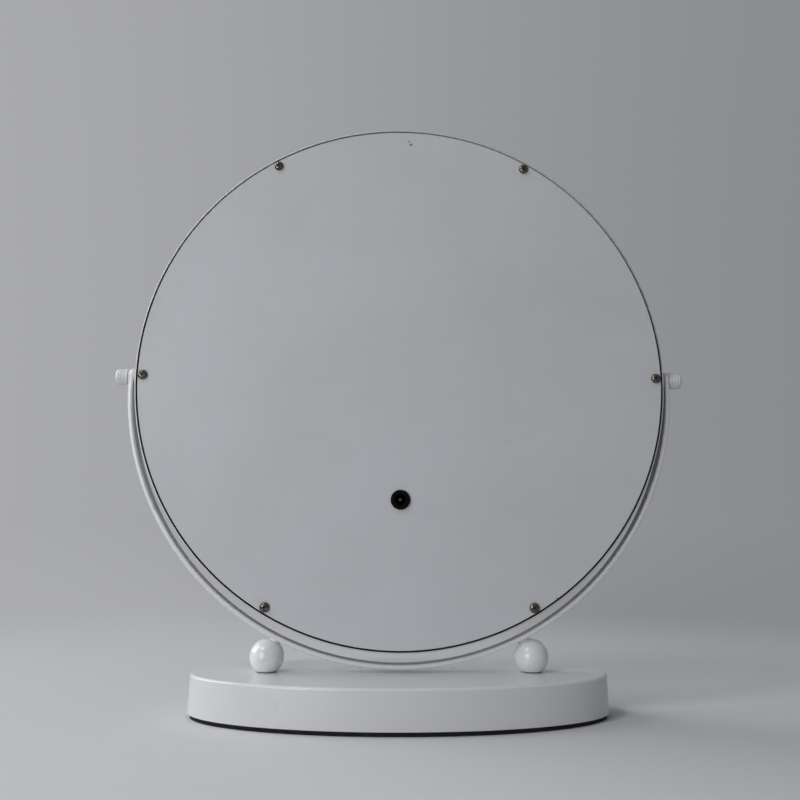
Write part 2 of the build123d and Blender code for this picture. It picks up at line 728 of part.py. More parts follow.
# Leads inside the pan: inlet to board, board to light strip, touch sensor to board
lead_colours = {"red": 1, "black": -1}
upper_pad_drop = board_top + board_pad_margin
lower_pad_drop = board_bottom - board_pad_margin
terminal_offset = terminal_spacing / 2
strip_pad_offset = strip_end_gap / 2 + led_pad_offset
strip_pad_edge = strip_pad_offset - lead_diameter / 2
strip_pad_drop = sqrt(strip_outer_radius**2 - strip_pad_edge**2) + seat_gap
loop_drop = strip_outer_radius + led_lead_loop
for colour, side in lead_colours.items():
    with BuildPart() as jack_lead:
        with BuildLine() as route:
            FilletPolyline(
                head_point(side * terminal_offset, terminal_drop, jack_end),
                head_point(side * terminal_offset, terminal_drop, lead_level),
                head_point(side * terminal_offset, upper_pad_drop, lead_level),
                head_point(side * terminal_offset, upper_pad_drop, board_rear),
                radius=lead_bend_radius,
            )
        with BuildSketch(Plane(origin=route.line @ 0, z_dir=route.line % 0)):
            Circle(lead_diameter / 2)
        sweep()
    jack_lead.part.label = f"jack_lead_{colour}"
    export_step(jack_lead.part, f"parts/jack_lead_{colour}.step")

    with BuildPart() as led_lead:
        with BuildLine() as route:
            FilletPolyline(
                head_point(side * led_lead_offset, lower_pad_drop, board_rear),
                head_point(side * led_lead_offset, lower_pad_drop, lead_level),
                head_point(side * led_lead_offset, loop_drop, lead_level),
                head_point(side * strip_pad_offset, loop_drop, lead_level),
                head_point(side * strip_pad_offset, strip_pad_drop, lead_level),
                radius=lead_bend_radius,
            )
        with BuildSketch(Plane(origin=route.line @ 0, z_dir=route.line % 0)):
            Circle(lead_diameter / 2)
        sweep()
    led_lead.part.label = f"led_lead_{colour}"
    export_step(led_lead.part, f"parts/led_lead_{colour}.step")

with BuildPart() as touch_lead:
    with BuildLine() as route:
        FilletPolyline(
            head_point(0, touch_drop, touch_pad_rear),
            head_point(0, touch_drop, lead_level),
            head_point(0, lower_pad_drop, lead_level),
            head_point(0, lower_pad_drop, board_rear),
            radius=lead_bend_radius,
        )
    with BuildSketch(Plane(origin=route.line @ 0, z_dir=route.line % 0)):
        Circle(lead_diameter / 2)
    sweep()
touch_lead.part.label = "touch_lead"
export_step(touch_lead.part, "parts/touch_lead.step")

# Pivot studs and the thumb knobs on their outer ends
knob_inner = bracket_radius + seat_gap
knob_body_inner = knob_inner + knob_collar_length
knob_outer = knob_inner + knob_length
stud_outer = knob_inner + stud_knob_depth
for name, side in sides.items():
    with BuildPart() as stud:
        with BuildSketch(pivot_plane(side, hoop_inner_radius - stud_reach)):
            Circle(stud_diameter / 2)
        extrude(amount=stud_outer - hoop_inner_radius + stud_reach)
    stud.part.label = f"{name}_stud"
    export_step(stud.part, f"parts/{name}_stud.step")

    with BuildPart() as knob:
        with BuildSketch(pivot_plane(side, knob_body_inner)):
            Circle(knob_diameter / 2)
        extrude(amount=knob_outer - knob_body_inner)
        fillet(knob.edges().sort_by(lambda edge: side * edge.center().X)[-1], knob_end_round)
        with BuildSketch(pivot_plane(side, knob_inner)):
            Circle(knob_collar_diameter / 2)
        extrude(amount=knob_collar_length)
        for groove in range(knob_groove_count):
            groove_inner = knob_body_inner + knob_groove_start + groove * knob_groove_pitch
            with BuildSketch(pivot_plane(side, groove_inner)):
                Circle(knob_diameter / 2)
                Circle(knob_diameter / 2 - knob_groove_depth, mode=Mode.SUBTRACT)
            extrude(amount=knob_groove_width, mode=Mode.SUBTRACT)
        with BuildSketch(pivot_plane(side, knob_inner)):
            Circle(stud_diameter / 2 + thread_clearance)
        extrude(amount=stud_knob_depth + seat_gap, mode=Mode.SUBTRACT)
    knob.part.label = f"{name}_knob"
    export_step(knob.part, f"parts/{name}_knob.step")
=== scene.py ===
import math

import bpy
from mathutils import Matrix, Vector


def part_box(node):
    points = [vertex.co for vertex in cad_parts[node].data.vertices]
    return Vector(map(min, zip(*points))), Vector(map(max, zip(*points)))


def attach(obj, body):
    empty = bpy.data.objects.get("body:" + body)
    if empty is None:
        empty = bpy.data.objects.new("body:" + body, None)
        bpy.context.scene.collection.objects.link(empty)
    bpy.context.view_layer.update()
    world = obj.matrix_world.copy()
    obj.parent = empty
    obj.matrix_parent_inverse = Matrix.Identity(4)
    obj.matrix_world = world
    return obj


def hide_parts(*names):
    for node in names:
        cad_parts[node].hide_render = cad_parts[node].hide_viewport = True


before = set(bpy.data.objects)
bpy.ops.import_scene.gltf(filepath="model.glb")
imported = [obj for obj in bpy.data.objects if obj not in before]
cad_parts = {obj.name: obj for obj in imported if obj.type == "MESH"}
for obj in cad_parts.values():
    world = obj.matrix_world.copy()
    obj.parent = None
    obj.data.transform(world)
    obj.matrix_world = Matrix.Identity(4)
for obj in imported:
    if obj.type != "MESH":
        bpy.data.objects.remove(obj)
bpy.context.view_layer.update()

MM = 0.001

# Head
hoop_low, hoop_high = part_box("rim_hoop")
panel_low, panel_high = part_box("back_panel")
HEAD_CENTRE = (hoop_low + hoop_high) / 2
HOOP_RADIUS = (hoop_high.z - hoop_low.z) / 2
HOOP_BACK = hoop_low.y
PANEL_RADIUS = (panel_high.z - panel_low.z) / 2
PANEL_BACK = panel_low.y
OUT_FROM_AXIS = (1.0, 0.0, 1.0)

# Hoop and panel edge, with the painted shade in the seam between them
HOOP_WALL = 0.8 * MM
# Radii over which the hoop's inner wall goes from painted shade to its coat
HOOP_INSIDE_DARK = HOOP_RADIUS - HOOP_WALL + 0.03 * MM
HOOP_INSIDE_PALE = HOOP_RADIUS - HOOP_WALL + 0.08 * MM
RUBBED_EDGE = 1.2 * MM
# Edge band of the panel that takes painted shade
PANEL_EDGE_BAND = 0.12 * MM
# Heights over which the painted shade in the seam fades out upwards
SEAM_PALE_FROM = HEAD_CENTRE.z + 10.0 * MM
SEAM_PALE_TO = HEAD_CENTRE.z + 110.0 * MM

# Small dark marks on the panel, in millimetres: across and up from its middle, and their radius
PANEL_MARKS = (
    (5.6, 143.2, 0.95),
    (4.6, 145.2, 0.6),
    (60.9, -36.9, 0.4),
    (28.8, 61.1, 0.28),
    (-65.5, 81.5, 0.32),
    (86.5, -123.0, 0.36),
)
MARK_CORE_SHARE = 0.7
MARK_RIM_SHARE = 1.2
MARK_RAGGED = 0.25 * MM

# Bracket and balls
bracket_low, bracket_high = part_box("stand_bracket")
BRACKET_CENTRE = Vector((0.0, 0.0, bracket_low.z + bracket_high.x))
BRACKET_THICKNESS = 2.7 * MM
BRACKET_INNER_RADIUS = bracket_high.x - BRACKET_THICKNESS
# Fade from the face towards the head, which is dull and has painted shade, to the glossy enamel
BRACKET_INNER_FADE = (0.03 * MM, 0.15 * MM)
BASE_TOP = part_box("base_shell")[1].z
# Height of the painted contact shade round the foot of each ball
BALL_CONTACT_SHADE = 0.7 * MM

# Panel screws
screws_low, screws_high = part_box("panel_screws")
SCREW_HEAD = PANEL_BACK - screws_low.y
SCREW_REACH = screws_high.y - PANEL_BACK
SCREW_HEAD_RADIUS = 2.8 * MM
SCREW_CIRCLE = screws_high.x - SCREW_HEAD_RADIUS
SCREW_SIDE = 0.45 * MM
SCREW_CROWN = SCREW_HEAD - SCREW_SIDE
SCREW_FLAT_SHARE = 0.3
SCREW_FLAT_RADIUS = SCREW_HEAD_RADIUS * SCREW_FLAT_SHARE
SCREW_SHAFT_RADIUS = 1.5 * MM
SCREW_TIP = 0.6 * MM
SCREW_TIP_SHARE = 0.7
SCREW_WEAR = 0.07 * MM
SCREW_WEAR_STEPS = 2
SCREW_WEAR_ANGLE = 40.0
SCREW_TURNS = (12.0, 58.0, 33.0, 71.0, 5.0, 47.0)
RECESS_ARM = Vector((3.4, 1.0, 1.5)) * MM
RECESS_TAPER_SHARE = 0.62
# Depth below the dome from which the recess takes painted shade and grime
RECESS_DARK = 0.06 * MM
RECESS_REACH = RECESS_ARM.x / 2 + RECESS_DARK

# Thumb knobs
KNOB_COLLAR_RADIUS = 3.8 * MM
KNOB_COLLAR = 0.8 * MM
KNOB_EDGE = 0.35 * MM
KNOB_END_ROUND = 2.0 * MM
KNOB_GROOVES = 3
KNOB_GROOVE_START = 1.1 * MM
KNOB_GROOVE_PITCH = 1.6 * MM
KNOB_GROOVE_WIDTH = 0.7 * MM
KNOB_GROOVE_DEPTH = 0.2 * MM
KNOB_GROOVE_SOFTNESS = 1.5

# Power inlet
jack_low, jack_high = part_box("dc_jack")
JACK_CENTRE = (jack_low + jack_high) / 2
JACK_BARREL_RADIUS = 4.0 * MM
JACK_BORE_RADIUS = 3.15 * MM
JACK_BORE_DEPTH = 9.5 * MM
JACK_FLANGE = 1.5 * MM
JACK_EDGE = 0.5 * MM
JACK_MOUTH = 0.35 * MM

# Glass and its touch ring
glass_low, glass_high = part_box("mirror_disc")
touch_low, touch_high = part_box("touch_pad")
GLASS_RADIUS = (glass_high.z - glass_low.z) / 2
GLASS_ARRIS = 0.7 * MM
TOUCH_CENTRE = (touch_low + touch_high) / 2
TOUCH_RING_RADIUS = 5.2 * MM
TOUCH_RING_WIDTH = 0.7 * MM
TOUCH_DOT_RADIUS = 1.0 * MM

# Fineness of the round pieces, and how level a face is
ROUND_SEGMENTS = 96
SCREW_SEGMENTS = 48
GLASS_SEGMENTS = 288
FILLET_STEPS = 8
SMOOTH_ANGLE = 32.0
GLASS_SMOOTH_ANGLE = 20.0
LEVEL_FACE = 0.99
FACING_BACK = Matrix.Rotation(math.pi / 2, 4, "X")
FACING_FRONT = Matrix.Rotation(-math.pi / 2, 4, "X")

# Floor and backdrop
FLOOR_SIZE = 40.0
FLOOR_SEEN = (0.7, 0.704, 0.716, 1.0)
FLOOR_BOUNCE = (0.5, 0.504, 0.512, 1.0)
FADE_START = 0.22
FADE_END = 0.7
BACKDROP_LEFT = (0.41, 0.413, 0.427, 1.0)
BACKDROP_RIGHT = (0.25, 0.253, 0.264, 1.0)
BACKDROP_TURN = 0.6

# Light from all round, and each lamp's name, place, aim, size and power
SKY_COLOUR = (0.94, 0.97, 1.0, 1.0)
SKY_STRENGTH = 0.2
LAMPS = (
    ("window_lamp", (-1.68, 0.4, 1.12), (0.0, 0.0, 0.12), 1.5, 22.0),
    ("room_lamp", (-0.55, -0.85, 0.24), (0.0, 0.0, 0.18), 0.45, 2.7),
    ("ceiling_lamp", (-0.75, -0.7, 1.4), (0.0, 0.0, 0.18), 0.36, 4.2),
)

# Camera: the picture's width, focal length and middle row in pixels, and its angles in degrees
PICTURE_WIDTH = 800.0
PICTURE_FOCAL = 875.1
PICTURE_MIDDLE_ROW = 346.5
SENSOR_WIDTH = 36.0
CAMERA_PLACE = Vector((-11.7, -507.2, 102.5)) * MM
CAMERA_PITCH = 11.42
CAMERA_YAW = -1.28
CAMERA_ROLL = 0.23
CLIP_START = 0.01
CLIP_END = 50.0


# Finishes

class Finish:
    """A Principled material with the piece's own coordinates at hand."""

    def __init__(self, name, colour, roughness, metallic=0.0, coat=0.0, coat_roughness=0.08, specular=0.5):
        self.material = bpy.data.materials.new(name)
        self.material.use_nodes = True
        self.tree = self.material.node_tree
        self.shader = self.tree.nodes["Principled BSDF"]
        self.colour = colour
        self.place = self.tree.nodes.new("ShaderNodeTexCoord").outputs["Object"]
        self.set("Base Color", (*colour, 1.0))
        self.set("Roughness", roughness)
        self.set("Metallic", metallic)
        self.set("Coat Weight", coat)
        self.set("Coat Roughness", coat_roughness)
        self.set("Specular IOR Level", specular)

    def set(self, socket, value):
        self.shader.inputs[socket].default_value = value

    def lead(self, source, socket):
        """Leads a pattern to one of the shader's sockets."""
        self.tree.links.new(source, self.shader.inputs[socket])

    def node(self, kind, **settings):
        made = self.tree.nodes.new(kind)
        for key, value in settings.items():
            setattr(made, key, value)
        return made

    def join(self, source, target):
        self.tree.links.new(source, target)

    def noise(self, size, detail, roughness=0.5, stretch=(1.0, 1.0, 1.0)):
        """Cloudy pattern whose patches are about the given size."""
        mapping = self.node("ShaderNodeMapping")
        mapping.inputs["Scale"].default_value = stretch
        self.join(self.place, mapping.inputs["Vector"])
        made = self.node("ShaderNodeTexNoise")
        made.inputs["Scale"].default_value = 1.0 / size
        made.inputs["Detail"].default_value = detail
        made.inputs["Roughness"].default_value = roughness
        self.join(mapping.outputs["Vector"], made.inputs["Vector"])
        return made.outputs["Fac"]

    def distance(self, centre, kept):
        """Distance from a point, along the kept axes alone."""
        away = self.node("ShaderNodeVectorMath", operation="SUBTRACT")
        away.inputs[1].default_value = centre
        self.join(self.place, away.inputs[0])
        flat = self.node("ShaderNodeVectorMath", operation="MULTIPLY")
        flat.inputs[1].default_value = kept
        self.join(away.outputs["Vector"], flat.inputs[0])
        length = self.node("ShaderNodeVectorMath", operation="LENGTH")
        self.join(flat.outputs["Vector"], length.inputs[0])
        return length.outputs["Value"]

    def along(self, axis):
        """Place along one axis of the frame."""
        made = self.node("ShaderNodeSeparateXYZ")
        self.join(self.place, made.inputs["Vector"])
        return made.outputs[axis]

    def specks(self, spacing, radius_share, kept_share):
        """Sparse round specks: one in each cell at most, in a share of the cells."""
        made = self.node("ShaderNodeTexVoronoi")
        made.inputs["Scale"].default_value = 1.0 / spacing
        self.join(self.place, made.inputs["Vector"])
        near = self.combine("LESS_THAN", made.outputs["Distance"], radius_share)
        channel = self.node("ShaderNodeSeparateColor")
        self.join(made.outputs["Color"], channel.inputs["Color"])
        kept = self.combine("LESS_THAN", channel.outputs["Red"], kept_share)
        return self.combine("MULTIPLY", near, kept)

    def combine(self, operation, *values):
        """One step of arithmetic on patterns and numbers."""
        made = self.node("ShaderNodeMath", operation=operation)
        for socket, value in zip(made.inputs, values):
            if isinstance(value, (int, float)):
                socket.default_value = value
            else:
                self.join(value, socket)
        return made.outputs["Value"]

    def spread(self, pattern, low, high, start=0.3, end=0.7):
        """Maps a pattern to a range of values."""
        made = self.node("ShaderNodeMapRange")
        made.inputs["From Min"].default_value = start
        made.inputs["From Max"].default_value = end
        made.inputs["To Min"].default_value = low
        made.inputs["To Max"].default_value = high
        self.join(pattern, made.inputs["Value"])
        return made.outputs["Result"]

    def tint(self, colour, other, pattern):
        """Mixes a colour, plain or patterned, towards another by a pattern."""
        made = self.node("ShaderNodeMix", data_type="RGBA")
        first, second = [socket for socket in made.inputs if socket.type == "RGBA"]
        if isinstance(colour, tuple):
            first.default_value = (*colour, 1.0)
        else:
            self.join(colour, first)
        second.default_value = (*other, 1.0)
        self.join(pattern, made.inputs["Factor"])
        return [socket for socket in made.outputs if socket.type == "RGBA"][0]

    def tones(self, other, size, amount, start=0.3, end=0.7, detail=4.0, roughness=0.5):
        """The finish's own colour with cloudy patches of another."""
        patches = self.noise(size, detail, roughness)
        return self.tint(self.colour, other, self.spread(patches, 0.0, amount, start, end))

    def uneven(self, size, low, high, detail=3.0):
        """Roughness that comes and goes between two values."""
        return self.spread(self.noise(size, detail), low, high)

    def relief(self, height, depth, strength):
        """Bump of about the given depth."""
        made = self.node("ShaderNodeBump")
        made.inputs["Strength"].default_value = strength
        made.inputs["Distance"].default_value = depth
        self.join(height, made.inputs["Height"])
        self.lead(made.outputs["Normal"], "Normal")

    def grain(self, size, depth, strength=0.4, detail=2.0):
        """Fine cloudy relief."""
        self.relief(self.noise(size, detail), depth, strength)

    def seam_shade(self):
        """Weight of the painted shade in the seam round the panel: one along its lower part, nought along its
        upper part.
        """
        return self.spread(self.along("Z"), 1.0, 0.0, SEAM_PALE_FROM, SEAM_PALE_TO)


def panel_coat():
    """Matt white coat with faint smudges, a few marks and a fine grain; its edge band has painted shade along
    the lower part of the seam.
    """
    coat = Finish("panel_coat", (0.64, 0.655, 0.685), 0.5, specular=0.4)
    smudge, speck, mark, painted_seam_shade = (0.6, 0.615, 0.64), (0.42,) * 3, (0.2,) * 3, (0.035, 0.03, 0.024)
    colour = coat.tones(smudge, 90 * MM, 1.0, start=0.42, end=0.72, roughness=0.6)
    colour = coat.tint(colour, speck, coat.specks(20 * MM, radius_share=0.012, kept_share=0.1))
    ragged = coat.spread(coat.noise(0.8 * MM, 2.0), -MARK_RAGGED, MARK_RAGGED)
    for across, up, radius in PANEL_MARKS:
        centre = HEAD_CENTRE + Vector((across, 0.0, up)) * MM
        near = coat.combine("ADD", coat.distance(centre, OUT_FROM_AXIS), ragged)
        core, rim = MARK_CORE_SHARE * radius * MM, MARK_RIM_SHARE * radius * MM
        colour = coat.tint(colour, mark, coat.spread(near, 1.0, 0.0, core, rim))
    # Painted shade in the seam: the panel's edge band darkens along the lower part of the seam
    out = coat.distance(HEAD_CENTRE, OUT_FROM_AXIS)
    edge = coat.spread(out, 0.0, 1.0, PANEL_RADIUS - PANEL_EDGE_BAND, PANEL_RADIUS - PANEL_EDGE_BAND / 4)
    coat.lead(coat.tint(colour, painted_seam_shade, coat.combine("MULTIPLY", edge, coat.seam_shade())), "Base Color")
    coat.lead(coat.uneven(30 * MM, 0.46, 0.6), "Roughness")
    coat.grain(1.1 * MM, 0.02 * MM)
    return coat.material


def hoop_coat():
    """White coat on the narrow hoop, rubbed along its back edge; its inner wall has painted shade, dark along
    the lower part of the seam.
    """
    coat = Finish("hoop_coat", (0.74, 0.75, 0.77), 0.4)
    worn, painted_wall_shade = (0.66, 0.665, 0.68), (0.03, 0.03, 0.03)
    colour = coat.tones(worn, 20 * MM, 0.6, start=0.55, end=0.8)
    edge = coat.spread(coat.along("Y"), 1.0, 0.0, HOOP_BACK + RUBBED_EDGE / 2, HOOP_BACK + RUBBED_EDGE)
    colour = coat.tint(colour, worn, edge)
    # Painted shade in the seam: the inner wall darkens along the lower part of the seam
    out = coat.distance(HEAD_CENTRE, OUT_FROM_AXIS)
    inside = coat.spread(out, 1.0, 0.0, HOOP_INSIDE_DARK, HOOP_INSIDE_PALE)
    coat.lead(coat.tint(colour, painted_wall_shade, coat.combine("MULTIPLY", inside, coat.seam_shade())), "Base Color")
    coat.lead(coat.uneven(12 * MM, 0.34, 0.5), "Roughness")
    coat.grain(0.9 * MM, 0.02 * MM)
    return coat.material


def bracket_enamel():
    """Glossy white enamel on the bent bar, dull on the face towards the head, where painted shade darkens it.
    """
    enamel = Finish("bracket_enamel", (0.82, 0.827, 0.845), 0.32, coat_roughness=0.18)
    worn, painted_gap_shade, dull = (0.76, 0.765, 0.775), (0.52, 0.52, 0.53), 0.75
    colour = enamel.tones(worn, 15 * MM, 0.5, start=0.55, end=0.8)
    # Painted shade on the face towards the head, which also loses its coat and gloss
    out = enamel.distance(BRACKET_CENTRE, OUT_FROM_AXIS)
    past_face = enamel.combine("SUBTRACT", out, BRACKET_INNER_RADIUS)
    inner = enamel.spread(past_face, 1.0, 0.0, *BRACKET_INNER_FADE)
    enamel.lead(enamel.tint(colour, painted_gap_shade, inner), "Base Color")
    rough = enamel.uneven(8 * MM, 0.26, 0.4)
    enamel.lead(enamel.combine("MAXIMUM", rough, enamel.combine("MULTIPLY", inner, dull)), "Roughness")
    enamel.lead(enamel.spread(inner, 0.7, 0.0, start=0.0, end=1.0), "Coat Weight")
    enamel.lead(enamel.spread(inner, 0.5, 0.12, start=0.0, end=1.0), "Specular IOR Level")
    enamel.grain(1.6 * MM, 0.03 * MM)
    return enamel.material


def base_gloss():
    """Glossy white moulding of the base: long soft waves and settled dust."""
    gloss = Finish("base_gloss", (0.74, 0.75, 0.77), 0.3, coat=0.3, coat_roughness=0.15)
    dust = (0.66,) * 3
    colour = gloss.tones(dust, 4 * MM, 0.35, start=0.58, end=0.8, detail=5.0, roughness=0.7)
    gloss.lead(colour, "Base Color")
    gloss.lead(gloss.uneven(50 * MM, 0.26, 0.38), "Roughness")
    gloss.grain(18 * MM, 0.05 * MM, strength=0.3)
    return gloss.material


def ball_gloss():
    """Polished white lacquer of the balls, with painted contact shade along the foot."""
    gloss = Finish("ball_gloss", (0.82, 0.827, 0.845), 0.24, coat=0.35, coat_roughness=0.12)
    worn, painted_contact_shade = (0.72, 0.72, 0.725), (0.1, 0.095, 0.09)
    colour = gloss.tones(worn, 6 * MM, 0.6, start=0.5, end=0.75)
    # Painted contact shade round the foot, where the ball meets the base
    contact_shade_band = (BASE_TOP + BALL_CONTACT_SHADE / 2, BASE_TOP + BALL_CONTACT_SHADE)
    gloss.lead(gloss.tint(colour, painted_contact_shade, gloss.spread(gloss.along("Z"), 1.0, 0.0, *contact_shade_band)), "Base Color")
    gloss.lead(gloss.uneven(4 * MM, 0.2, 0.32), "Roughness")
    gloss.grain(6 * MM, 0.04 * MM, strength=0.35)
    return gloss.material


def knob_gloss():
    """White moulding of the thumb knobs, greyed a little by handling."""
    gloss = Finish("knob_gloss", (0.73, 0.737, 0.755), 0.36)
    handled = (0.6,) * 3
    gloss.lead(gloss.tones(handled, 4 * MM, 0.6, start=0.5, end=0.8), "Base Color")
    gloss.lead(gloss.uneven(3 * MM, 0.3, 0.46), "Roughness")
    gloss.grain(2 * MM, 0.01 * MM, strength=0.3)
    return gloss.material


def nickel_plate():
    """Warm dark nickel of the screws and studs, tarnished in patches."""
    nickel = Finish("nickel_plate", (0.3, 0.262, 0.222), 0.13, metallic=1.0)
    tarnish = (0.06, 0.049, 0.037)
    patches = nickel.spread(nickel.noise(1.5 * MM, 3.0), 0.3, 0.9)
    nickel.lead(nickel.tint(nickel.colour, tarnish, patches), "Base Color")
    nickel.lead(nickel.uneven(0.9 * MM, 0.09, 0.22), "Roughness")
    nickel.grain(0.6 * MM, 0.01 * MM)
    return nickel.material


def ballast_steel():
    """Plain rolled steel with scale."""
    steel = Finish("ballast_steel", (0.32, 0.32, 0.33), 0.5, metallic=1.0)
    scale = (0.16, 0.14, 0.13)
    steel.lead(steel.tones(scale, 12 * MM, 0.8, start=0.45, end=0.7, detail=5.0), "Base Color")
    steel.lead(steel.uneven(4 * MM, 0.4, 0.7, detail=4.0), "Roughness")
    steel.grain(1 * MM, 0.04 * MM, strength=0.6, detail=3.0)
    return steel.material


def pad_rubber():
    """Black sheet rubber under the base."""
    rubber = Finish("pad_rubber", (0.011, 0.011, 0.012), 0.8, specular=0.25)
    bloom = (0.03,) * 3
    rubber.lead(rubber.tones(bloom, 3 * MM, 0.8, start=0.5, end=0.75, detail=5.0), "Base Color")
    rubber.lead(rubber.uneven(2 * MM, 0.7, 0.9), "Roughness")
    rubber.grain(0.5 * MM, 0.05 * MM, strength=0.6)
    return rubber.material


def socket_black():
    """Black moulding of the power inlet and the base's cover."""
    black = Finish("socket_black", (0.003, 0.003, 0.0033), 0.5, specular=0.06)
    worn = (0.006, 0.006, 0.007)
    black.lead(black.tones(worn, 2 * MM, 0.8, start=0.5, end=0.75), "Base Color")
    black.lead(black.uneven(1.2 * MM, 0.45, 0.62), "Roughness")
    black.grain(0.7 * MM, 0.02 * MM)
    return black.material


def block_casting():
    """Dull grey casting of the blocks and posts inside the hoop, with drawn lines."""
    metal = Finish("block_casting", (0.2, 0.2, 0.205), 0.5, metallic=1.0)
    shade = (0.12, 0.12, 0.125)
    lines = metal.noise(0.8 * MM, 2.0, stretch=(1.0, 12.0, 1.0))
    metal.lead(metal.tint(metal.colour, shade, metal.spread(lines, 0.0, 0.8)), "Base Color")
    metal.lead(metal.uneven(3 * MM, 0.42, 0.62), "Roughness")
    metal.relief(lines, 0.01 * MM, 0.5)
    return metal.material


def washer_nylon():
    """Natural nylon of the pivot washers."""
    nylon = Finish("washer_nylon", (0.66, 0.65, 0.62), 0.45)
    shade = (0.56, 0.55, 0.52)
    nylon.lead(nylon.tones(shade, 2 * MM, 0.7, detail=3.0), "Base Color")
    nylon.lead(nylon.uneven(1 * MM, 0.4, 0.55), "Roughness")
    nylon.grain(0.6 * MM, 0.02 * MM)
    return nylon.material


def silvered_glass():
    """Mirror glass: clean silvering with a trace of wiping marks and a frosted touch ring."""
    glass = Finish("silvered_glass", (0.88, 0.9, 0.905), 0.02, metallic=1.0)
    wiped, frost, frost_rough = (0.84, 0.86, 0.865), (0.82, 0.83, 0.84), 0.6
    wipe = glass.noise(30 * MM, 4.0, roughness=0.6, stretch=(1.0, 1.0, 0.25))
    colour = glass.tint(glass.colour, wiped, glass.spread(wipe, 0.0, 0.6, start=0.5, end=0.8))
    out = glass.distance(TOUCH_CENTRE, OUT_FROM_AXIS)
    off_ring = glass.combine("ABSOLUTE", glass.combine("SUBTRACT", out, TOUCH_RING_RADIUS))
    ring = glass.combine("LESS_THAN", off_ring, TOUCH_RING_WIDTH / 2)
    dot = glass.combine("LESS_THAN", out, TOUCH_DOT_RADIUS)
    frosted = glass.combine("MAXIMUM", ring, dot)
    glass.lead(glass.tint(colour, frost, frosted), "Base Color")
    clear = glass.spread(wipe, 0.008, 0.03, start=0.5, end=0.8)
    glass.lead(glass.combine("ADD", clear, glass.combine("MULTIPLY", frosted, frost_rough)), "Roughness")
    return glass.material


def glass_edge():
    """Ground edge of the glass, pale green."""
    edge = Finish("glass_edge", (0.5, 0.62, 0.57), 0.3)
    deeper = (0.36, 0.5, 0.45)
    edge.lead(edge.tones(deeper, 4 * MM, 0.8, detail=3.0), "Base Color")
    edge.lead(edge.uneven(2 * MM, 0.24, 0.42), "Roughness")
    edge.grain(0.8 * MM, 0.02 * MM)
    return edge.material


def opal_acrylic():
    """Opal ring in front of the lights."""
    opal = Finish("opal_acrylic", (0.84, 0.845, 0.84), 0.38)
    shade = (0.79, 0.795, 0.785)
    opal.set("Subsurface Weight", 0.25)
    opal.set("Subsurface Radius", (3 * MM,) * 3)
    opal.set("Subsurface Scale", 1.0)
    opal.lead(opal.tones(shade, 10 * MM, 0.6), "Base Color")
    opal.lead(opal.uneven(3 * MM, 0.32, 0.46), "Roughness")
    opal.grain(0.6 * MM, 0.02 * MM)
    return opal.material


def inner_finish(name, colour, other, roughness, size, metallic=0.0):
    """Finish of a small piece inside the head: two tones, uneven gloss and a light grain."""
    inner = Finish(name, colour, roughness, metallic=metallic)
    inner.lead(inner.tones(other, size, 0.8), "Base Color")
    smoother, rougher = roughness * 0.8, min(1.0, roughness * 1.3)
    inner.lead(inner.uneven(size / 2, smoother, rougher), "Roughness")
    inner.grain(size / 4, size / 40, strength=0.5)
    return inner.material


def cover(finish, *names):
    """Gives CAD nodes their finish."""
    for name in names:
        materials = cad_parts[name].data.materials
        materials.clear()
        materials.append(finish)


nickel_screws = nickel_plate()
# Painted shade and grime for the screw recesses
recess_shade_and_grime = inner_finish("recess_shade_and_grime", (0.03, 0.025, 0.02), (0.012, 0.01, 0.009), 0.7, 0.6 * MM)
knob_white = knob_gloss()
jack_black = socket_black()
mirror_silver = silvered_glass()
mirror_edge = glass_edge()
pan_white = inner_finish("pan_white", (0.78, 0.78, 0.77), (0.7, 0.7, 0.69), 0.5, 10 * MM)
foam_white = inner_finish("foam_white", (0.74, 0.74, 0.71), (0.6, 0.6, 0.57), 0.9, 2 * MM)
strip_film = inner_finish("strip_film", (0.82, 0.81, 0.76), (0.74, 0.66, 0.5), 0.45, 6 * MM)
chip_yellow = inner_finish("chip_yellow", (0.85, 0.66, 0.18), (0.9, 0.82, 0.55), 0.35, 2 * MM)
copper_foil = inner_finish("copper_foil", (0.7, 0.36, 0.2), (0.45, 0.22, 0.13), 0.3, 4 * MM, metallic=1.0)
board_green = inner_finish("board_green", (0.02, 0.14, 0.06), (0.05, 0.24, 0.11), 0.4, 2.5 * MM)
component_black = inner_finish("component_black", (0.02, 0.02, 0.02), (0.06, 0.06, 0.06), 0.5, 1.5 * MM)
contact_dark = inner_finish("contact_dark", (0.14, 0.12, 0.09), (0.07, 0.06, 0.05), 0.3, 1 * MM, metallic=1.0)
lead_red = inner_finish("lead_red", (0.5, 0.02, 0.015), (0.36, 0.015, 0.01), 0.45, 2 * MM)
lead_black = inner_finish("lead_black", (0.02, 0.02, 0.02), (0.05, 0.05, 0.05), 0.45, 2 * MM)
lead_white = inner_finish("lead_white", (0.78, 0.78, 0.75), (0.66, 0.65, 0.62), 0.45, 2 * MM)

cover(panel_coat(), "back_panel")
cover(hoop_coat(), "rim_hoop")
cover(bracket_enamel(), "stand_bracket")
cover(base_gloss(), "base_shell")
cover(ball_gloss(), "left_ball", "right_ball")
cover(knob_white, "left_knob", "right_knob")
cover(nickel_screws, "panel_screws", "cover_screws", "ball_screws", "ball_washers", "bracket_screws")
cover(nickel_screws, "left_stud", "right_stud")
cover(ballast_steel(), "ballast_plate")
cover(pad_rubber(), "foot_pad")
cover(jack_black, "dc_jack", "jack_nut", "base_cover")
cover(block_casting(), "panel_posts", "left_pivot_block", "right_pivot_block")
cover(washer_nylon(), "left_pivot_washer", "right_pivot_washer")
cover(mirror_silver, "mirror_disc")
cover(opal_acrylic(), "light_diffuser")
cover(pan_white, "light_pan")
cover(foam_white, "mirror_tape", "board_tape")
cover(strip_film, "led_strip")
cover(chip_yellow, "led_chips")
